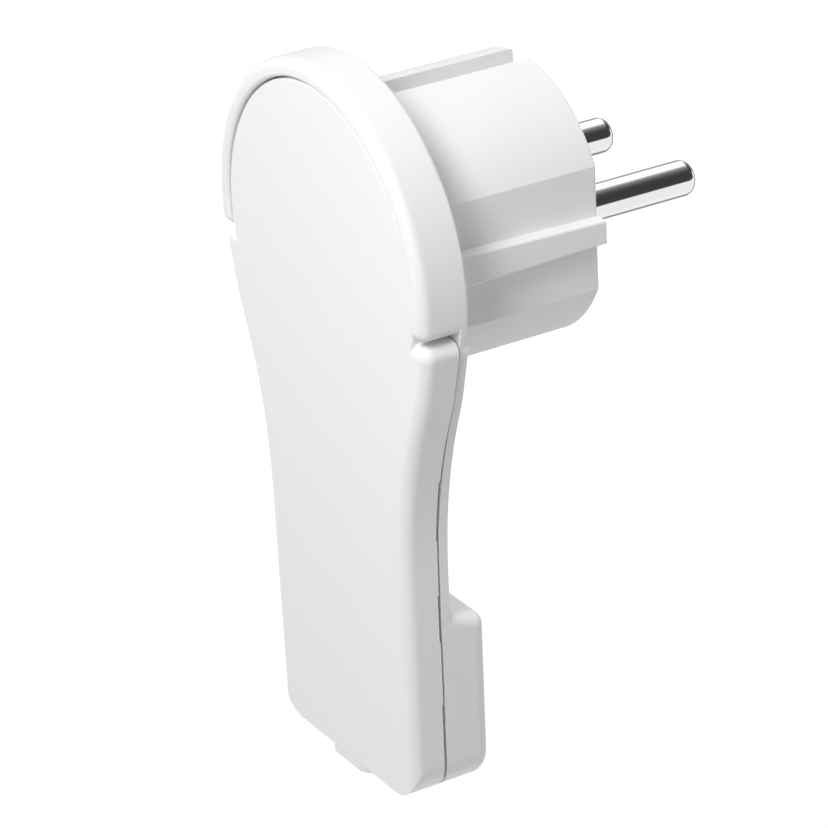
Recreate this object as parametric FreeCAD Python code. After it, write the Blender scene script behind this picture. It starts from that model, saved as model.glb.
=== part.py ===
"""Flat angled earthed plug with a paddle handle, for sockets with side earth clips.

Millimetres. +X is right seen from the front, +Y runs along the pins towards the wall, +Z is up.
The origin lies on the plug's axis, midway between the pins, in the wall-side plane of the flange.
"""
import FreeCAD, Part
import math
import os

V = FreeCAD.Vector
X_AXIS = V(1, 0, 0)
Y_AXIS = V(0, 1, 0)
Z_AXIS = V(0, 0, 1)

# Plug face, pins and the round insert that enters the socket
pin_radius = 2.4
pin_length = 19.0
pin_spacing = 19.0
pin_tip_round = 1.5
insert_radius = 18.7
insert_length = 24.8
insert_flat_depth = 2.0
insert_wall = 1.8
insert_edge_round = 0.5
engagement_plate = 3.2
rib_inset = 0.1
rib_base_half_height = 2.25
rib_end_half_height = 1.6
rib_edge_round = 0.35

# Head: round flange with a raised rim, its centre a little below the plug's axis
head_drop = 1.1
rim_radius = 25.4
rim_width = 2.5
rim_front = 6.9
rim_end_level = 4.8
rim_front_round = 1.5
rim_inner_round = 0.5
flange_edge_round = 0.5

# Paddle handle: the front cover's outline, also followed by the base behind it
disc_gap = 0.25
disc_edge_round = 0.3
face_depth = 6.5
throat_round = 0.3
ledge_gap = 0.9
shoulder_overhang = 0.2
shoulder_round = 1.5
hip_inset = 2.4
hip_drop = 9.5
hip_round = 30.0
plate_pinch = 0.4
waist_level = 40.3
waist_half_width = 17.5
bottom_half_width = 17.1
bottom_level = 73.8
bottom_corner = 5.0
cover_edge_round = 1.6
cover_wall = 1.6
cover_face_wall = 1.5
back_plate = 1.2
seam_gap = 0.35
pry_slot_depth = 0.15
pry_slot_rises = ((37.8, 46.8), (23.0, 29.8), (2.8, 13.8))

# Locating lip of the base inside the cover's skirt, and the hook that holds the cover under the rim
lip_clearance = 0.2
lip_thickness = 1.0
lip_height = 1.6
lip_top_level = 14.0
lip_block_gap = 2.6
hook_half_width = 5.0
hook_reach = 0.9
hook_thickness = 1.2
hook_back = 3.0
hook_clearance = 0.15

# Cable block behind the handle's lower end
block_back = 5.5
block_height = 26.8
block_top_slope = 2.2
block_wall = 1.8
block_back_wall = 1.5
block_edge_round = 1.8

# Cable inlet: a bored collar below the bottom wall and its tube through it, centred in the handle
inlet_radius = 3.6
inlet_tube_wall = 1.0
collar_overhang = 1.0
collar_length = 1.2
collar_round = 0.3
collar_gap = 0.06
inlet_clearance = 0.15

# Pin heads with their cross hole for the conductor, and the pins' thicker root in the plate
pin_root_step = 0.3
pin_hole_clearance = 0.05
pin_collar_radius = 4.6
pin_collar_length = 2.0
pin_head_radius = 3.6
pin_head_length = 10.6
conductor_hole_radius = 1.4
conductor_hole_inset = 4.5

# Screws: shank and head of the terminal and the self-tapping kind
thread_clearance = 0.05
screw_radius = 1.5
terminal_head_radius = 2.6
terminal_head_height = 1.8
terminal_head_lift = 0.6
tapping_head_radius = 2.7
clamp_head_height = 1.6
cover_head_height = 2.0
slot_width = 0.9
slot_depth = 0.8
cross_reach = 1.6

# Retainer plate that holds the pins' collars against the engagement plate
retainer_end_gap = 0.6
retainer_half_height = 6.0
retainer_corner = 3.0
retainer_thickness = 2.2
retainer_clearance = 0.1
retainer_boss_radius = 3.2
retainer_screw_bite = 2.0

# Earth bracket: one bent strip, its legs in the grooves on the insert, its bridge inside
strip_half_width = 2.0
strip_thickness = 0.8
strip_recess = 2.5
strip_bend = 0.7
strip_side_clearance = 0.12
strip_slot_clearance = 0.08
strip_end_setback = 1.0
bridge_y = 5.0
bridge_half_width = 4.0
bridge_half_height = 7.0
groove_floor_wall = 1.5
earth_plate_half = 3.4
earth_plate_thickness = 0.8
earth_nut_half = 3.0
earth_nut_thickness = 2.4

# Cord clamp: bar over the cable, screwed on two bosses in the block
clamp_rise = 15.8
clamp_end_gap = 2.3
clamp_half_height = 3.6
clamp_face_gap = 0.2
clamp_thickness = 3.4
clamp_screw_x = 8.8
clamp_boss_radius = 3.2
saddle_squeeze = 0.2
clamp_round = 1.2
grip_rib_height = 0.7
grip_rib_half_width = 0.6
grip_rib_offset = 2.4

# Cover screws, from the wall side through the block into the cover's bosses
cover_screw_inset = 5.3
cover_screw_rise = 5.8
cover_screw_tube_radius = 3.9
cover_screw_sink = 3.1
cover_screw_floor = 1.6
cover_boss_radius = 3.0
cover_screw_tip_gap = 1.8
head_side_clearance = 0.3

# Places that follow from the sizes above
insert_flat_x = insert_radius - insert_flat_depth
rib_outer_x = insert_radius - rib_inset
strip_outer_z = insert_radius - strip_recess
head_z = -head_drop
rim_inner_radius = rim_radius - rim_width
disc_radius = rim_inner_radius - disc_gap
seam_y = -back_plate
skirt_y = seam_y - seam_gap
face_y = -face_depth
cover_inside_y = face_y + cover_face_wall
plate_inside_y = insert_length - engagement_plate
collar_front_y = plate_inside_y - pin_collar_length
retainer_front_y = collar_front_y - retainer_thickness
pin_root_radius = pin_radius + pin_root_step
pin_head_front = collar_front_y - pin_head_length
conductor_hole_y = pin_head_front + conductor_hole_inset
groove_floor_z = strip_outer_z - strip_thickness
cavity_half_height = groove_floor_z - groove_floor_wall
cavity_radius = insert_radius - insert_wall
cavity_half_width = insert_flat_x - insert_wall
retainer_half_length = cavity_half_width - retainer_end_gap
block_top_level = bottom_level - block_height
block_inside_y = block_back - block_back_wall
lip_bottom_level = block_top_level - lip_block_gap
inlet_y = (block_back - face_depth) / 2
inlet_end_z = -bottom_level - collar_length
inlet_tube_radius = inlet_radius + inlet_tube_wall
inlet_tube_length = collar_length + block_wall
collar_radius = (block_back + face_depth) / 2 + collar_overhang
thread_hole = screw_radius + thread_clearance
strip_front_y = bridge_y - strip_thickness / 2
strip_back_y = bridge_y + strip_thickness / 2
plate_front_y = strip_front_y - earth_plate_thickness
nut_back_y = strip_back_y + earth_nut_thickness
terminal_seat_y = pin_head_front - terminal_head_lift
clamp_level = bottom_level - clamp_rise
clamp_half_length = bottom_half_width - block_wall - clamp_end_gap
clamp_front_y = cover_inside_y + clamp_face_gap
clamp_seat_y = clamp_front_y + clamp_thickness
clamp_saddle_radius = inlet_radius - saddle_squeeze
clamp_screw_seat = clamp_front_y + clamp_head_height
cover_screw_x = bottom_half_width - cover_screw_inset
cover_screw_level = bottom_level - cover_screw_rise
cover_screw_seat = block_back - cover_screw_sink
cover_screw_tip = cover_inside_y + cover_screw_tip_gap
retainer_screw_tip = plate_inside_y + retainer_screw_bite - thread_clearance
clamp_screw_tip = block_inside_y - 2 * thread_clearance
pin_xs = (-pin_spacing / 2, pin_spacing / 2)
clamp_xs = (-clamp_screw_x, clamp_screw_x)
cover_screw_xs = (-cover_screw_x, cover_screw_x)


def box(x0, x1, y0, y1, z0, z1):
    return Part.makeBox(x1 - x0, y1 - y0, z1 - z0, V(x0, y0, z0))


def rod(radius, x, z, y0, y1):
    """A round bar along Y."""
    return Part.makeCylinder(radius, y1 - y0, V(x, y0, z), Y_AXIS)


def edges_along_y(shape, places):
    """The straight edges along Y that stand at the given (x, z) places."""
    found = []
    for edge in shape.Edges:
        ends = [vertex.Point for vertex in edge.Vertexes]
        if len(ends) != 2 or math.hypot(ends[0].x - ends[1].x, ends[0].z - ends[1].z) > 1e-6:
            continue
        if any(math.hypot(ends[0].x - x, ends[0].z - z) < 1e-4 for x, z in places):
            found.append(edge)
    return found


def edges_in_plane_y(shape, y):
    """The edges that lie wholly in the plane across Y at the given place."""
    return [edge for edge in shape.Edges if all(abs(v.Point.y - y) < 1e-6 for v in edge.Vertexes)
            and abs(edge.CenterOfMass.y - y) < 1e-6]


def paddle(y0, y1, overrun=0.0, pinch=0.0):
    """The handle's outline between two planes: disc, shoulders, hips, sweep to the waist, rounded bottom."""
    taper = math.atan2(waist_half_width - bottom_half_width, bottom_level - waist_level)
    waist = V(waist_half_width, 0, -waist_level)
    throat_angle = math.asin((head_z + rim_end_level + ledge_gap) / disc_radius)
    throat = V(disc_radius * math.cos(throat_angle), 0, head_z - disc_radius * math.sin(throat_angle))
    shoulder = V(rim_radius + shoulder_overhang - pinch, 0, throat.z)
    hip = shoulder - X_AXIS * hip_inset - Z_AXIS * hip_drop

    outward = V(math.cos(taper), 0, -math.sin(taper))
    rise = hip - waist
    sweep_radius = rise.dot(rise) / (2 * rise.dot(outward))
    sweep_centre = waist + outward * sweep_radius
    sweep_half = ((hip - sweep_centre) + (waist - sweep_centre)).normalize() * sweep_radius
    bottom = V(bottom_half_width - overrun * math.tan(taper), 0, -bottom_level - overrun)

    def mirrored(point):
        return V(-point.x, point.y, point.z)

    edges = [Part.Arc(mirrored(throat), V(0, 0, head_z + disc_radius), throat).toShape()]
    edges.append(Part.LineSegment(throat, shoulder).toShape())
    edges.append(Part.LineSegment(shoulder, hip).toShape())
    edges.append(Part.Arc(hip, sweep_centre + sweep_half, waist).toShape())
    edges.append(Part.LineSegment(waist, bottom).toShape())
    edges.append(Part.LineSegment(bottom, mirrored(bottom)).toShape())
    edges.append(Part.LineSegment(mirrored(bottom), mirrored(waist)).toShape())
    middle = mirrored(sweep_centre + sweep_half)
    edges.append(Part.Arc(mirrored(waist), middle, mirrored(hip)).toShape())
    edges.append(Part.LineSegment(mirrored(hip), mirrored(shoulder)).toShape())
    edges.append(Part.LineSegment(mirrored(shoulder), mirrored(throat)).toShape())
    solid = Part.Face(Part.Wire(edges)).extrude(Y_AXIS * (y1 - y0))
    solid.translate(Y_AXIS * y0)
    for corner, radius in ((throat, throat_round), (shoulder, shoulder_round),
                           (hip, hip_round), (bottom, bottom_corner)):
        places = [(corner.x, corner.z), (-corner.x, corner.z)]
        solid = solid.makeFillet(radius, edges_along_y(solid, places))
    return solid


def paddle_inset(inset, y0, y1):
    """The same outline, drawn in by a wall's thickness."""
    flat = [face for face in paddle(0, 1).Faces if abs(face.CenterOfMass.y) < 1e-6][0]
    solid = flat.makeOffset2D(-inset).extrude(Y_AXIS * (y1 - y0))
    solid.translate(Y_AXIS * y0)
    return solid


def insert_section(radius, half_width, y0, y1):
    """A round bar with two side flats."""
    return rod(radius, 0, 0, y0, y1).common(box(-half_width, half_width, y0, y1, -radius, radius))


def guide_rib():
    """The right-hand guide rib, which tapers towards the engagement face."""
    root_x = insert_flat_x - insert_wall / 2
    corners = [V(root_x, 0, -rib_base_half_height), V(root_x, insert_length, -rib_end_half_height),
               V(root_x, insert_length, rib_end_half_height), V(root_x, 0, rib_base_half_height)]
    rib = Part.Face(Part.makePolygon(corners + corners[:1])).extrude(X_AXIS * (rib_outer_x - root_x))
    long_edges = [edge for edge in rib.Edges if abs(edge.CenterOfMass.x - rib_outer_x) < 1e-6
                  and abs(edge.CenterOfMass.z) > rib_end_half_height / 2]
    return rib.makeFillet(rib_edge_round, long_edges)


def make_rim():
    """The raised rim round the cover's disc, its ends rounded off, with the pocket for the cover's hook."""
    rim = rod(rim_radius, 0, head_z, -rim_front, seam_y)
    rim = rim.cut(rod(rim_inner_radius, 0, head_z, -rim_front, seam_y))
    rim = rim.cut(box(-rim_radius, rim_radius, -rim_front, seam_y, head_z - rim_radius, -rim_end_level))

    def on_inside(edge):
        return all(abs(math.hypot(v.Point.x, v.Point.z - head_z) - rim_inner_radius) < 1e-6
                   for v in edge.Vertexes)

    end_x = math.sqrt(rim_radius ** 2 - (rim_end_level + head_z) ** 2)
    front_edges = [edge for edge in edges_in_plane_y(rim, -rim_front) if not on_inside(edge)]
    end_edges = edges_along_y(rim, [(-end_x, -rim_end_level), (end_x, -rim_end_level)])
    rim = rim.makeFillet(rim_front_round, front_edges + end_edges)
    inside_edges = [edge for edge in edges_in_plane_y(rim, -rim_front) if on_inside(edge)]
    rim = rim.makeFillet(rim_inner_round, inside_edges)
    pocket_top = head_z + rim_inner_radius + hook_reach + hook_clearance
    pocket_front = -hook_back - hook_thickness - hook_clearance
    pocket = box(-hook_half_width - hook_clearance, hook_half_width + hook_clearance,
                 pocket_front, -hook_back + hook_clearance, 0, pocket_top)
    return rim.cut(pocket)


def make_block():
    """The outside of the cable block, with a sloping top and rounded wall-side edges."""
    slope = block_top_slope / block_back

    def top_z(y):
        return -block_top_level - slope * y

    corners = [V(-rim_radius, seam_y, top_z(seam_y)), V(-rim_radius, block_back, top_z(block_back)),
               V(-rim_radius, block_back, -bottom_level), V(-rim_radius, seam_y, -bottom_level)]
    below = Part.Face(Part.makePolygon(corners + corners[:1])).extrude(X_AXIS * (2 * rim_radius))
    block = paddle(seam_y, block_back).common(below)
    top_sides = [edge for edge in block.Edges if abs(edge.tangentAt(edge.FirstParameter).y) > 0.5
                 and all(abs(v.Point.z - top_z(v.Point.y)) < 1e-6 for v in edge.Vertexes)]
    return block.makeFillet(block_edge_round, edges_in_plane_y(block, block_back) + top_sides)


def make_base():
    """Flange, rim, hollow insert, thin back plate and cable block, moulded in one piece."""
    flange = rod(rim_radius, 0, head_z, seam_y, 0)
    flange = flange.makeFillet(flange_edge_round, edges_in_plane_y(flange, 0))
    plate = paddle(seam_y, 0, pinch=plate_pinch)
    base = flange.fuse(plate).fuse(make_rim()).fuse(make_block())

    insert = insert_section(insert_radius, insert_flat_x, 0, insert_length)
    insert = insert.makeFillet(insert_edge_round, edges_in_plane_y(insert, insert_length))
    right_rib = guide_rib()
    insert = insert.fuse(right_rib).fuse(right_rib.mirror(V(0, 0, 0), X_AXIS))
    groove_half = strip_half_width + strip_side_clearance
    for side in (-1, 1):
        z0, z1 = sorted((side * groove_floor_z, side * insert_radius))
        insert = insert.cut(box(-groove_half, groove_half, 0, insert_length, z0, z1))
    base = base.fuse(insert)

    cavity = insert_section(cavity_radius, cavity_half_width, seam_y, plate_inside_y)
    cavity = cavity.common(box(-cavity_radius, cavity_radius, seam_y, plate_inside_y,
                               -cavity_half_height, cavity_half_height))
    base = base.cut(cavity)
    for side in (-1, 1):
        z0, z1 = sorted((side * (groove_floor_z - strip_slot_clearance),
                         side * (strip_outer_z + strip_slot_clearance)))
        base = base.cut(box(-groove_half, groove_half, seam_y, 0, z0, z1))
    base = base.fuse(rod(retainer_boss_radius, 0, 0, collar_front_y, plate_inside_y))
    base = base.cut(rod(thread_hole, 0, 0, collar_front_y, plate_inside_y + retainer_screw_bite))
    for x in pin_xs:
        base = base.cut(rod(pin_root_radius + pin_hole_clearance, x, 0, plate_inside_y, insert_length))

    lip_inset = cover_wall + lip_clearance
    lip = paddle_inset(lip_inset, seam_y - lip_height, seam_y)
    lip = lip.cut(paddle_inset(lip_inset + lip_thickness, seam_y - lip_height, seam_y))
    lip = lip.common(box(-rim_radius, rim_radius, seam_y - lip_height, seam_y,
                         -lip_bottom_level, -lip_top_level))
    base = base.fuse(lip)

    hollow = paddle_inset(block_wall, seam_y, block_inside_y)
    hollow_top = -block_top_level - block_top_slope - block_wall
    hollow = hollow.common(box(-rim_radius, rim_radius, seam_y, block_inside_y, -bottom_level, hollow_top))
    base = base.cut(hollow)
    for x in clamp_xs:
        base = base.fuse(rod(clamp_boss_radius, x, -clamp_level, clamp_seat_y, block_inside_y))
        base = base.cut(rod(thread_hole, x, -clamp_level, clamp_seat_y, block_inside_y - thread_clearance))
    for offset in (-grip_rib_offset, grip_rib_offset):
        level = -clamp_level + offset
        base = base.fuse(box(-inlet_radius, inlet_radius, block_inside_y - grip_rib_height, block_inside_y,
                             level - grip_rib_half_width, level + grip_rib_half_width))
    head_bore = tapping_head_radius + head_side_clearance
    tube_y = cover_screw_seat - cover_screw_floor
    for x in cover_screw_xs:
        tube = rod(cover_screw_tube_radius, x, -cover_screw_level, tube_y, block_inside_y)
        base = base.fuse(tube.common(paddle(seam_y, block_back)))
        base = base.cut(rod(head_bore, x, -cover_screw_level, cover_screw_seat, block_back))
        base = base.cut(rod(thread_hole, x, -cover_screw_level, tube_y, cover_screw_seat))

    collar = Part.makeCylinder(collar_radius, collar_length, V(0, inlet_y, inlet_end_z), Z_AXIS)
    rims = [edge for edge in collar.Edges if abs(edge.CenterOfMass.z - inlet_end_z) < 1e-6]
    collar = collar.makeFillet(collar_round, rims)
    collar = collar.common(box(-collar_radius, collar_radius, face_y, inlet_y + collar_radius,
                               inlet_end_z, -bottom_level))
    collar = collar.cut(box(-collar_radius, collar_radius, inlet_y - collar_radius, seam_y,
                            -bottom_level - collar_gap, -bottom_level))
    inlet_end = V(0, inlet_y, inlet_end_z)
    inlet_tube = Part.makeCylinder(inlet_tube_radius, inlet_tube_length, inlet_end, Z_AXIS)
    base = base.fuse(collar).fuse(inlet_tube)
    base = base.cut(Part.makeCylinder(inlet_radius, inlet_tube_length, inlet_end, Z_AXIS))
    return base.removeSplitter()


def make_cover():
    """The paddle-shaped front cover: a shallow shell whose round head sits inside the rim."""
    cover = paddle(face_y, skirt_y, 2 * bottom_corner)
    cover = cover.makeFillet(cover_edge_round, edges_in_plane_y(cover, face_y))
    cover = cover.common(paddle(face_y, skirt_y))
    disc = rod(disc_radius, 0, head_z, face_y, skirt_y)
    disc = disc.makeFillet(disc_edge_round, edges_in_plane_y(disc, face_y))
    cover = cover.fuse(disc)
    cover = cover.cut(paddle_inset(cover_wall, cover_inside_y, skirt_y))
    for low, high in pry_slot_rises:
        cover = cover.cut(box(-rim_radius, rim_radius, skirt_y - pry_slot_depth, skirt_y,
                              low - bottom_level, high - bottom_level))

    hook_top = head_z + rim_inner_radius + hook_reach
    hook = box(-hook_half_width, hook_half_width, -hook_back - hook_thickness, -hook_back,
               head_z + disc_radius - cover_wall, hook_top)
    cover = cover.fuse(hook)
    boss_end = cover_screw_seat - cover_screw_floor
    screw_hole_end = cover_screw_tip - thread_clearance
    for x in cover_screw_xs:
        cover = cover.fuse(rod(cover_boss_radius, x, -cover_screw_level, cover_inside_y, boss_end))
        cover = cover.cut(rod(thread_hole, x, -cover_screw_level, screw_hole_end, boss_end))
    notch_radius = inlet_tube_radius + inlet_clearance
    notch_height = inlet_tube_length + cover_wall
    notch = Part.makeCylinder(notch_radius, notch_height, V(0, inlet_y, inlet_end_z), Z_AXIS)
    return cover.cut(notch).removeSplitter()


def make_pin(x):
    """A turned pin: rounded shank, collar behind the plate, and a head bored for conductor and screw."""
    tip_y = insert_length + pin_length
    shank = rod(pin_radius, x, 0, insert_length, tip_y)
    shank = shank.makeFillet(pin_tip_round, edges_in_plane_y(shank, tip_y))
    pin = shank.fuse(rod(pin_root_radius, x, 0, plate_inside_y, insert_length))
    pin = pin.fuse(rod(pin_collar_radius, x, 0, collar_front_y, plate_inside_y))
    pin = pin.fuse(rod(pin_head_radius, x, 0, pin_head_front, collar_front_y))
    cross_start = V(x, conductor_hole_y, -pin_head_radius)
    pin = pin.cut(Part.makeCylinder(conductor_hole_radius, 2 * pin_head_radius, cross_start, Z_AXIS))
    pin = pin.cut(rod(thread_hole, x, 0, pin_head_front, conductor_hole_y))
    return pin.removeSplitter()


def make_screw(x, z, seat_y, tip_y, head_radius, head_height, crossed):
    """A screw along Y: head on the side away from its tip, with a plain slot or a cross recess."""
    way = 1 if tip_y > seat_y else -1
    head_y = seat_y - way * head_height
    screw = rod(head_radius, x, z, min(head_y, seat_y), max(head_y, seat_y))
    screw = screw.fuse(rod(screw_radius, x, z, min(seat_y, tip_y), max(seat_y, tip_y)))
    cut_low, cut_high = sorted((head_y, head_y + way * slot_depth))
    half = slot_width / 2
    reach = cross_reach if crossed else head_radius
    screw = screw.cut(box(x - reach, x + reach, cut_low, cut_high, z - half, z + half))
    if crossed:
        screw = screw.cut(box(x - half, x + half, cut_low, cut_high, z - reach, z + reach))
    return screw.removeSplitter()


def make_retainer():
    """The moulded plate over the pins' collars."""
    plate = box(-retainer_half_length, retainer_half_length, retainer_front_y, collar_front_y,
                -retainer_half_height, retainer_half_height)
    corners = [(sx * retainer_half_length, sz * retainer_half_height) for sx in (-1, 1) for sz in (-1, 1)]
    plate = plate.makeFillet(retainer_corner, edges_along_y(plate, corners))
    for x in pin_xs:
        plate = plate.cut(rod(pin_head_radius + retainer_clearance, x, 0, retainer_front_y, collar_front_y))
    return plate.cut(rod(thread_hole, 0, 0, retainer_front_y, collar_front_y))


def make_earth_bracket():
    """One bent strip: outside leg, over the flange, down the cavity, across, and back the same way."""
    half = strip_thickness / 2
    leg_z = strip_outer_z - half
    over_y = seam_y - half
    inner_z = cavity_half_height - strip_slot_clearance - half
    leg_end = insert_length - strip_end_setback
    upper = [(leg_end, leg_z), (over_y, leg_z), (over_y, inner_z), (bridge_y, inner_z)]
    route = upper + [(y, -z) for y, z in reversed(upper)]
    centre_line = Part.makePolygon([V(0, y, z) for y, z in route])
    outline = centre_line.makeOffset2D(half, join=2, openResult=True)
    inline = centre_line.makeOffset2D(-half, join=2, openResult=True)
    loop = [v.Point for v in outline.OrderedVertexes]
    loop += [v.Point for v in reversed(inline.OrderedVertexes)]
    strip = Part.Face(Part.makePolygon(loop + loop[:1])).extrude(X_AXIS * (2 * bridge_half_width))
    strip.translate(X_AXIS * -bridge_half_width)
    outer_bends = []
    for edge in strip.Edges:
        if abs(edge.Length - 2 * bridge_half_width) > 1e-6:
            continue
        y, z = edge.CenterOfMass.y, abs(edge.CenterOfMass.z)
        outside = (y < over_y and z > inner_z) or (y > bridge_y and z > inner_z - half)
        if outside and y < leg_end - half:
            outer_bends.append(edge)
    strip = strip.makeFillet(strip_bend, outer_bends)
    for side in (-1, 1):
        x0, x1 = sorted((side * strip_half_width, side * bridge_half_width))
        strip = strip.cut(box(x0, x1, over_y - half, leg_end, bridge_half_height, strip_outer_z))
        strip = strip.cut(box(x0, x1, over_y - half, leg_end, -strip_outer_z, -bridge_half_height))
    return strip.cut(rod(thread_hole, 0, 0, bridge_y - half, bridge_y + half))


def make_earth_plate(front_y, back_y):
    plate = box(-earth_plate_half, earth_plate_half, front_y, back_y, -earth_plate_half, earth_plate_half)
    return plate.cut(rod(thread_hole, 0, 0, front_y, back_y))


def make_earth_nut(front_y, back_y):
    nut = box(-earth_nut_half, earth_nut_half, front_y, back_y, -earth_nut_half, earth_nut_half)
    return nut.cut(rod(thread_hole, 0, 0, front_y, back_y))


def make_cord_clamp():
    """A bar with a round saddle for the cable and sunk seats for its two screws."""
    bar = box(-clamp_half_length, clamp_half_length, clamp_front_y, clamp_seat_y,
              -clamp_level - clamp_half_height, -clamp_level + clamp_half_height)
    corners = [(sx * clamp_half_length, -clamp_level + sz * clamp_half_height)
               for sx in (-1, 1) for sz in (-1, 1)]
    bar = bar.makeFillet(clamp_round, edges_along_y(bar, corners))
    saddle_start = V(0, inlet_y, -clamp_level - clamp_half_height)
    bar = bar.cut(Part.makeCylinder(clamp_saddle_radius, 2 * clamp_half_height, saddle_start, Z_AXIS))
    for x in clamp_xs:
        bar = bar.cut(rod(tapping_head_radius + head_side_clearance, x, -clamp_level,
                          clamp_front_y, clamp_screw_seat))
        bar = bar.cut(rod(thread_hole, x, -clamp_level, clamp_screw_seat, clamp_seat_y))
    return bar


nodes = {
    "base_housing": make_base(),
    "front_cover": make_cover(),
    "left_pin": make_pin(pin_xs[0]),
    "right_pin": make_pin(pin_xs[1]),
    "pin_clamp_screws": Part.makeCompound([
        make_screw(x, 0, terminal_seat_y, conductor_hole_y,
                   terminal_head_radius, terminal_head_height, False) for x in pin_xs]),
    "pin_retainer": make_retainer(),
    "retainer_screw": make_screw(0, 0, retainer_front_y, retainer_screw_tip,
                                 tapping_head_radius, terminal_head_height, True),
    "earth_bracket": make_earth_bracket(),
    "earth_clamp_plate": make_earth_plate(plate_front_y, strip_front_y),
    "earth_nut": make_earth_nut(strip_back_y, nut_back_y),
    "earth_screw": make_screw(0, 0, plate_front_y, nut_back_y,
                              terminal_head_radius, terminal_head_height, False),
    "cord_clamp": make_cord_clamp(),
    "cord_clamp_screws": Part.makeCompound([
        make_screw(x, -clamp_level, clamp_screw_seat, clamp_screw_tip,
                   tapping_head_radius, clamp_head_height, True) for x in clamp_xs]),
    "cover_screws": Part.makeCompound([
        make_screw(x, -cover_screw_level, cover_screw_seat, cover_screw_tip,
                   tapping_head_radius, cover_head_height, True) for x in cover_screw_xs]),
}

os.makedirs("parts", exist_ok=True)
for name, shape in nodes.items():
    shape.exportStep(f"parts/{name}.step")
    print(name, "solids", len(shape.Solids), "valid", shape.isValid(), "volume", round(shape.Volume, 1))
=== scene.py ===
"""Flat angled earthed plug, seen from its front right and a little from above on a white ground."""
import bpy
import math
from mathutils import Matrix, Vector


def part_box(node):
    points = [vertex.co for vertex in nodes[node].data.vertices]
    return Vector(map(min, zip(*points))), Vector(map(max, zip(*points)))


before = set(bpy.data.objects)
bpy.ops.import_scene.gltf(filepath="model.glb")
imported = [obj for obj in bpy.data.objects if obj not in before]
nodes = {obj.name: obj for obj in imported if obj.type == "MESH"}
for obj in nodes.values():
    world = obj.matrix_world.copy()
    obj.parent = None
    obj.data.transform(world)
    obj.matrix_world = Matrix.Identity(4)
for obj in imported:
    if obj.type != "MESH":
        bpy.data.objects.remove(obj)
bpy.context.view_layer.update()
scene = bpy.context.scene
scene.view_settings.view_transform = "Standard"


# Base housing: flange, rim, hollow insert, back plate and cable block in one moulding of white
# thermoplastic, ejected from a finely eroded steel mould that leaves a soft even sheen.
def moulding_grain_group():
    """Surface of an injection moulding: fine mould grain, slow flow marks, faint tone drift."""
    group = bpy.data.node_groups.new("moulding_grain", "ShaderNodeTree")
    for name, kind, value in (("Tone", "NodeSocketColor", (0.8, 0.8, 0.8, 1.0)),
                              ("Drift", "NodeSocketFloat", 0.02),
                              ("Rough Low", "NodeSocketFloat", 0.3), ("Rough High", "NodeSocketFloat", 0.4),
                              ("Grain Size", "NodeSocketFloat", 0.0002)):
        socket = group.interface.new_socket(name, in_out="INPUT", socket_type=kind)
        socket.default_value = value
    for name, kind in (("Color", "NodeSocketColor"), ("Roughness", "NodeSocketFloat"),
                       ("Height", "NodeSocketFloat")):
        group.interface.new_socket(name, in_out="OUTPUT", socket_type=kind)
    tree, links = group.nodes, group.links
    given = tree.new("NodeGroupInput")
    out = tree.new("NodeGroupOutput")
    place = tree.new("ShaderNodeTexCoord")

    flow = tree.new("ShaderNodeTexNoise")
    flow.inputs["Scale"].default_value = 55.0
    flow.inputs["Detail"].default_value = 1.0
    links.new(place.outputs["Object"], flow.inputs["Vector"])
    dark = tree.new("ShaderNodeMath")
    dark.operation = "MULTIPLY_ADD"
    links.new(flow.outputs["Fac"], dark.inputs[0])
    links.new(given.outputs["Drift"], dark.inputs[1])
    lift = tree.new("ShaderNodeMath")
    lift.operation = "SUBTRACT"
    lift.inputs[0].default_value = 1.0
    links.new(given.outputs["Drift"], lift.inputs[1])
    links.new(lift.outputs[0], dark.inputs[2])
    tone = tree.new("ShaderNodeVectorMath")
    tone.operation = "SCALE"
    links.new(given.outputs["Tone"], tone.inputs[0])
    links.new(dark.outputs[0], tone.inputs["Scale"])
    links.new(tone.outputs["Vector"], out.inputs["Color"])

    sheen = tree.new("ShaderNodeMapRange")
    links.new(flow.outputs["Fac"], sheen.inputs["Value"])
    links.new(given.outputs["Rough Low"], sheen.inputs["To Min"])
    links.new(given.outputs["Rough High"], sheen.inputs["To Max"])
    links.new(sheen.outputs["Result"], out.inputs["Roughness"])

    pitch = tree.new("ShaderNodeMath")
    pitch.operation = "DIVIDE"
    pitch.inputs[0].default_value = 1.0
    links.new(given.outputs["Grain Size"], pitch.inputs[1])
    grain = tree.new("ShaderNodeTexNoise")
    grain.inputs["Detail"].default_value = 2.0
    links.new(place.outputs["Object"], grain.inputs["Vector"])
    links.new(pitch.outputs[0], grain.inputs["Scale"])
    links.new(grain.outputs["Fac"], out.inputs["Height"])
    return group


moulding_grain = moulding_grain_group()


def blank_material(name):
    """A new node material, with its nodes and their links."""
    material = bpy.data.materials.new(name)
    material.use_nodes = True
    return material, material.node_tree.nodes, material.node_tree.links


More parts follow.
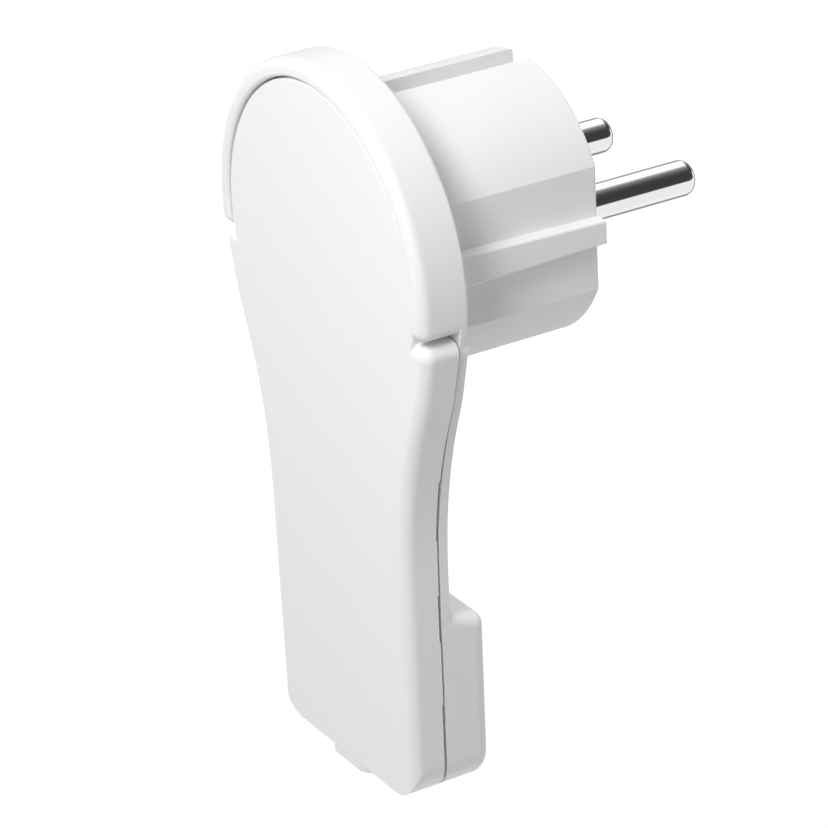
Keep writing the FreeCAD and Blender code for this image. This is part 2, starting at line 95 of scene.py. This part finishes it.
def moulded_plastic(name, tone, drift, roughness, grain_size, grain_depth):
    """White or grey moulded plastic with its own tone, range of roughness and mould grain."""
    material, tree, links = blank_material(name)
    shader = tree["Principled BSDF"]
    shader.inputs["IOR"].default_value = 1.49
    skin = tree.new("ShaderNodeGroup")
    skin.node_tree = moulding_grain
    skin.inputs["Tone"].default_value = (*tone, 1.0)
    skin.inputs["Drift"].default_value = drift
    skin.inputs["Rough Low"].default_value = roughness[0]
    skin.inputs["Rough High"].default_value = roughness[1]
    skin.inputs["Grain Size"].default_value = grain_size
    links.new(skin.outputs["Color"], shader.inputs["Base Color"])
    links.new(skin.outputs["Roughness"], shader.inputs["Roughness"])
    bump = tree.new("ShaderNodeBump")
    bump.inputs["Strength"].default_value = 0.25
    bump.inputs["Distance"].default_value = grain_depth
    links.new(skin.outputs["Height"], bump.inputs["Height"])
    links.new(bump.outputs["Normal"], shader.inputs["Normal"])
    return material


def finish_node(name, material):
    """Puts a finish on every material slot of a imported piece."""
    piece = nodes[name]
    for place in piece.material_slots:
        place.material = material
    if not piece.material_slots:
        piece.data.materials.append(material)


base_white = moulded_plastic("base_white", tone=(0.846, 0.837, 0.840), drift=0.02, roughness=(0.46, 0.58),
                             grain_size=0.00025, grain_depth=0.00001)
finish_node("base_housing", base_white)


# Front cover: the paddle-shaped lid, a thin shell of the same white plastic from a polished mould,
# hooked under the rim at its head and screwed from behind at its foot.
cover_white = moulded_plastic("cover_white", tone=(0.858, 0.842, 0.847), drift=0.015, roughness=(0.44, 0.56),
                              grain_size=0.0003, grain_depth=0.00001)
finish_node("front_cover", cover_white)


# Contact pins: turned from brass rod and plated with bright nickel. The lathe leaves very fine
# rings round the shank, just enough to blur a reflection along it.
def turned_metal(name, tone, roughness, ring_pitch, ring_depth):
    """Metal turned about Y, with fine rings and a little cloudiness in its tone and gloss."""
    material, tree, links = blank_material(name)
    shader = tree["Principled BSDF"]
    shader.inputs["Metallic"].default_value = 1.0
    place = tree.new("ShaderNodeTexCoord")
    cloud = tree.new("ShaderNodeTexNoise")
    cloud.inputs["Scale"].default_value = 220.0
    links.new(place.outputs["Object"], cloud.inputs["Vector"])
    sheen = tree.new("ShaderNodeMapRange")
    sheen.inputs["To Min"].default_value = roughness[0]
    sheen.inputs["To Max"].default_value = roughness[1]
    links.new(cloud.outputs["Fac"], sheen.inputs["Value"])
    links.new(sheen.outputs["Result"], shader.inputs["Roughness"])
    clouded_share = 0.94
    colour = tree.new("ShaderNodeMix")
    colour.data_type = "RGBA"
    colour.inputs["A"].default_value = (*tone, 1.0)
    colour.inputs["B"].default_value = (*[clouded_share * part for part in tone], 1.0)
    links.new(cloud.outputs["Fac"], colour.inputs["Factor"])
    links.new(colour.outputs["Result"], shader.inputs["Base Color"])
    across_scale = 20.0
    along = tree.new("ShaderNodeMapping")
    along.inputs["Scale"].default_value = (across_scale, 1.0 / ring_pitch, across_scale)
    links.new(place.outputs["Object"], along.inputs["Vector"])
    rings = tree.new("ShaderNodeTexNoise")
    rings.inputs["Scale"].default_value = 1.0
    rings.inputs["Detail"].default_value = 2.0
    links.new(along.outputs["Vector"], rings.inputs["Vector"])
    bump = tree.new("ShaderNodeBump")
    bump.inputs["Strength"].default_value = 0.3
    bump.inputs["Distance"].default_value = ring_depth
    links.new(rings.outputs["Fac"], bump.inputs["Height"])
    links.new(bump.outputs["Normal"], shader.inputs["Normal"])
    return material


pin_nickel = turned_metal("pin_nickel", tone=(0.86, 0.86, 0.855), roughness=(0.07, 0.12),
                          ring_pitch=0.00012, ring_depth=0.0000015)
finish_node("left_pin", pin_nickel)
finish_node("right_pin", pin_nickel)


# Earth bracket: one strip of nickel-plated brass, punched and bent. Its legs lie in the grooves of
# the insert and its bridge crosses the cavity behind the flange.
strip_nickel = turned_metal("strip_nickel", tone=(0.80, 0.795, 0.78), roughness=(0.16, 0.26),
                            ring_pitch=0.002, ring_depth=0.000002)
finish_node("earth_bracket", strip_nickel)


# Screws and earth clamp plate: cold-headed or punched steel with a thin zinc plating, so a little
# cloudy, with the cool tint of a passivated surface.
zinc_steel = turned_metal("zinc_steel", tone=(0.62, 0.63, 0.65), roughness=(0.24, 0.38),
                          ring_pitch=0.0006, ring_depth=0.000004)
for name in ("pin_clamp_screws", "retainer_screw", "earth_screw", "earth_clamp_plate", "cord_clamp_screws"):
    finish_node(name, zinc_steel)


# Cover screws: the same plated steel, driven from the wall side into the cover's bosses. Below the face of
# the head, over the punched cross recess, the head's sides and the shank, shade is painted into the colour.
def paint_shade_below(material, face, depth, painted_shade_tone):
    """Paints shade into a metal's colour: darker below a level along Y, over a given depth."""
    tree, links = material.node_tree.nodes, material.node_tree.links
    base = tree["Principled BSDF"].inputs["Base Color"]
    bright = base.links[0].from_socket
    place = tree.new("ShaderNodeTexCoord")
    split = tree.new("ShaderNodeSeparateXYZ")
    links.new(place.outputs["Object"], split.inputs["Vector"])
    level = tree.new("ShaderNodeMapRange")
    level.inputs["From Min"].default_value = face - depth
    level.inputs["From Max"].default_value = face
    links.new(split.outputs["Y"], level.inputs["Value"])
    mixed = tree.new("ShaderNodeMix")
    mixed.data_type = "RGBA"
    mixed.inputs["A"].default_value = (*painted_shade_tone, 1.0)
    links.new(level.outputs["Result"], mixed.inputs["Factor"])
    links.new(bright, mixed.inputs["B"])
    links.new(mixed.outputs["Result"], base)


cover_zinc = zinc_steel.copy()
cover_zinc.name = "cover_zinc"
head_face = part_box("cover_screws")[1][1]
face_margin = 0.00005
# Painted shade: the screws' colour darkens below the head's face, in the cross recess and down the sides.
paint_shade_below(cover_zinc, head_face - face_margin, depth=0.0004, painted_shade_tone=(0.16, 0.16, 0.17))
finish_node("cover_screws", cover_zinc)


# Earth nut: a square of plain brass, sawn from drawn bar and left as machined. It lies behind the
# bracket's bridge and takes the earth screw.
bare_brass = turned_metal("bare_brass", tone=(0.78, 0.60, 0.32), roughness=(0.22, 0.36),
                          ring_pitch=0.0005, ring_depth=0.000004)
finish_node("earth_nut", bare_brass)


# Pin retainer and cord clamp: small mouldings of pale grey insulating plastic, matt from a coarser
# mould, held by screws inside the shell.
insulator_grey = moulded_plastic("insulator_grey", tone=(0.62, 0.62, 0.60), drift=0.04, roughness=(0.5, 0.62),
                                 grain_size=0.0004, grain_depth=0.00002)
finish_node("pin_retainer", insulator_grey)
finish_node("cord_clamp", insulator_grey)


# Floor: a pale seamless sheet well below the plug, which hangs in the air as in its socket. It
# glows just enough to read white to the eye and in the pins, less below the plug, where its shadow falls.
def white_to_the_eye(tree, links):
    """1 on rays from the camera or off gloss and glass, 0 on the rays that light the plug."""
    path = tree.new("ShaderNodeLightPath")
    shiny = tree.new("ShaderNodeMath")
    shiny.operation = "MAXIMUM"
    links.new(path.outputs["Is Glossy Ray"], shiny.inputs[0])
    links.new(path.outputs["Is Transmission Ray"], shiny.inputs[1])
    seen = tree.new("ShaderNodeMath")
    seen.operation = "MAXIMUM"
    links.new(path.outputs["Is Camera Ray"], seen.inputs[0])
    links.new(shiny.outputs["Value"], seen.inputs[1])
    return seen.outputs["Value"]


floor_level = -0.30
floor_reach = 6.0
floor_mesh = bpy.data.meshes.new("floor")
floor_mesh.from_pydata([(-floor_reach, -floor_reach, floor_level), (floor_reach, -floor_reach, floor_level),
                        (floor_reach, floor_reach, floor_level), (-floor_reach, floor_reach, floor_level)],
                       [], [(0, 1, 2, 3)])
floor = bpy.data.objects.new("floor", floor_mesh)
scene.collection.objects.link(floor)
floor_pale, tree, links = blank_material("floor_pale")
tree.remove(tree["Principled BSDF"])
sheet = tree.new("ShaderNodeBsdfDiffuse")
sheet.inputs["Color"].default_value = (0.8, 0.8, 0.8, 1.0)
glow = tree.new("ShaderNodeEmission")
spot = tree.new("ShaderNodeTexCoord")
reach = tree.new("ShaderNodeVectorMath")
reach.operation = "LENGTH"
links.new(spot.outputs["Object"], reach.inputs[0])
fade = tree.new("ShaderNodeMapRange")
for name, value in (("From Min", 0.30), ("From Max", 0.9), ("To Min", 0.42), ("To Max", 0.84)):
    fade.inputs[name].default_value = value
links.new(reach.outputs["Value"], fade.inputs["Value"])
glow_level = tree.new("ShaderNodeMath")
glow_level.operation = "MULTIPLY"
links.new(white_to_the_eye(tree, links), glow_level.inputs[0])
links.new(fade.outputs["Result"], glow_level.inputs[1])
links.new(glow_level.outputs["Value"], glow.inputs["Strength"])
both = tree.new("ShaderNodeAddShader")
links.new(sheet.outputs["BSDF"], both.inputs[0])
links.new(glow.outputs["Emission"], both.inputs[1])
links.new(both.outputs["Shader"], tree["Material Output"].inputs["Surface"])
floor_mesh.materials.append(floor_pale)


# Reflector: a curved sheet round the pins' line, seen only in glossy surfaces. From below on the right
# over the top to behind, its deep grey draws the pins' streak, its white their light, its end their edges.
card_radius = 0.25
card_first, card_last = math.radians(-75.0), math.radians(262.0)
card_middle = (card_first + card_last) / 2
card_depth = (0.03, 1.20)
card_steps = 96
card_points = []
for step in range(card_steps + 1):
    angle = card_first + (card_last - card_first) * step / card_steps
    for depth in card_depth:
        card_points.append((card_radius * math.cos(angle), depth, card_radius * math.sin(angle)))
card_faces = [(2 * step, 2 * step + 1, 2 * step + 3, 2 * step + 2) for step in range(card_steps)]
card_mesh = bpy.data.meshes.new("reflector")
card_mesh.from_pydata(card_points, [], card_faces)
card = bpy.data.objects.new("reflector", card_mesh)
scene.collection.objects.link(card)
card.visible_camera = False
card.visible_diffuse = False
card.visible_transmission = False
card.visible_shadow = False
card_shades, tree, links = blank_material("card_shades")
tree.remove(tree["Principled BSDF"])
spot = tree.new("ShaderNodeTexCoord")
turned = tree.new("ShaderNodeVectorRotate")
turned.rotation_type = "Y_AXIS"
turned.inputs["Angle"].default_value = card_middle
links.new(spot.outputs["Object"], turned.inputs["Vector"])
split = tree.new("ShaderNodeSeparateXYZ")
links.new(turned.outputs["Vector"], split.inputs["Vector"])
bearing = tree.new("ShaderNodeMath")
bearing.operation = "ARCTAN2"
links.new(split.outputs["Z"], bearing.inputs[0])
links.new(split.outputs["X"], bearing.inputs[1])
climb = tree.new("ShaderNodeMapRange")
climb.inputs["From Min"].default_value = card_first - card_middle
climb.inputs["From Max"].default_value = card_last - card_middle
links.new(bearing.outputs["Value"], climb.inputs["Value"])


def card_shade(first_level, last_level, *stops):
    """Grey levels at the sheet's two ends and, by their angle in degrees, between them."""
    shade = tree.new("ShaderNodeValToRGB")
    shade.color_ramp.elements[0].color = (first_level, first_level, first_level, 1.0)
    shade.color_ramp.elements[1].color = (last_level, last_level, last_level, 1.0)
    for degrees, level in stops:
        mark = shade.color_ramp.elements.new((math.radians(degrees) - card_first) / (card_last - card_first))
        mark.color = (level, level, level, 1.0)
    links.new(climb.outputs["Result"], shade.inputs["Fac"])
    return shade.outputs["Color"]


low_level, rear_level = 0.72, 0.25
low_stops = ((-40, 0.70), (-6, low_level), (-3, 0.04))
beside = card_shade(low_level, rear_level, *low_stops, (29, 0.036), (41, 0.037), (52, 0.043), (63, 0.07),
                    (76, 0.14), (88, 0.26), (104, 1.0), (152, 1.0), (163, 0.35), (180, 0.22))
beyond = card_shade(low_level, rear_level, *low_stops, (120, 0.05), (170, rear_level))
deeper = tree.new("ShaderNodeMapRange")
deeper.inputs["From Min"].default_value = 0.22
deeper.inputs["From Max"].default_value = 0.34
links.new(split.outputs["Y"], deeper.inputs["Value"])
shades = tree.new("ShaderNodeMix")
shades.data_type = "RGBA"
links.new(deeper.outputs["Result"], shades.inputs["Factor"])
links.new(beside, shades.inputs["A"])
links.new(beyond, shades.inputs["B"])
glow = tree.new("ShaderNodeEmission")
glow.inputs["Strength"].default_value = 1.4
links.new(shades.outputs["Result"], glow.inputs["Color"])
links.new(glow.outputs["Emission"], tree["Material Output"].inputs["Surface"])
card_mesh.materials.append(card_shades)


# Light: a soft round lamp close above the front right, a fill beside it, and weaker lamps on the left,
# behind and below in an even room. The last two stay out of the pins' reflection.
def soft_lamp(name, bearing, height, distance, width, watts):
    """A round soft box aimed at the plug, by its bearing from the front, its height angle and distance."""
    lamp = bpy.data.lights.new(name, "AREA")
    lamp.shape = "DISK"
    lamp.size = width
    lamp.energy = watts
    head = bpy.data.objects.new(name, lamp)
    turn, rise = math.radians(bearing), math.radians(height)
    way = Vector((math.sin(turn) * math.cos(rise), -math.cos(turn) * math.cos(rise), math.sin(rise)))
    head.location = way * distance
    head.rotation_euler = way.to_track_quat("Z", "Y").to_euler()
    head.visible_camera = False
    scene.collection.objects.link(head)
    return head


soft_lamp("key_lamp", bearing=30.0, height=45.0, distance=0.28, width=0.12, watts=0.526)
soft_lamp("fill_lamp", bearing=36.0, height=20.0, distance=1.20, width=0.40, watts=2.60)
soft_lamp("left_lamp", bearing=300.0, height=20.0, distance=1.20, width=0.70, watts=3.55)
rear_lamp = soft_lamp("rear_lamp", bearing=180.0, height=30.0, distance=0.40, width=0.24, watts=0.79)
low_lamp = soft_lamp("low_lamp", bearing=180.0, height=-75.0, distance=0.25, width=0.12, watts=0.105)
for head in (rear_lamp, low_lamp):
    head.visible_glossy = False

world = bpy.data.worlds.new("studio")
world.use_nodes = True
scene.world = world
tree, links = world.node_tree.nodes, world.node_tree.links
room = tree["Background"]
room.inputs["Color"].default_value = (1.0, 1.0, 1.0, 1.0)
room.inputs["Strength"].default_value = 0.30
ground = tree.new("ShaderNodeBackground")
ground.inputs["Color"].default_value = (1.0, 1.0, 1.0, 1.0)
ground.inputs["Strength"].default_value = 1.0
blend = tree.new("ShaderNodeMixShader")
links.new(white_to_the_eye(tree, links), blend.inputs["Fac"])
links.new(room.outputs["Background"], blend.inputs[1])
links.new(ground.outputs["Background"], blend.inputs[2])
links.new(blend.outputs["Shader"], tree["World Output"].inputs["Surface"])


# Camera: the photograph's viewpoint, on the plug's front right and above it, with a long lens and a
# small roll.
turn, lift, roll = math.radians(59.80), math.radians(25.39), math.radians(-2.86)
back = Vector((math.sin(turn) * math.cos(lift), -math.cos(turn) * math.cos(lift), math.sin(lift)))
level = Vector((math.cos(turn), math.sin(turn), 0.0))
above = back.cross(level)
right = level * math.cos(roll) + above * math.sin(roll)
up = above * math.cos(roll) - level * math.sin(roll)
lens = bpy.data.cameras.new("camera")
lens.sensor_width = 36.0
lens.lens = 177.85
lens.clip_start = 0.01
camera = bpy.data.objects.new("camera", lens)
place = Vector((0.41575, -0.23569, 0.20118))
camera.matrix_world = Matrix(((right.x, up.x, back.x, place.x), (right.y, up.y, back.y, place.y),
                              (right.z, up.z, back.z, place.z), (0.0, 0.0, 0.0, 1.0)))
scene.collection.objects.link(camera)
scene.camera = camera
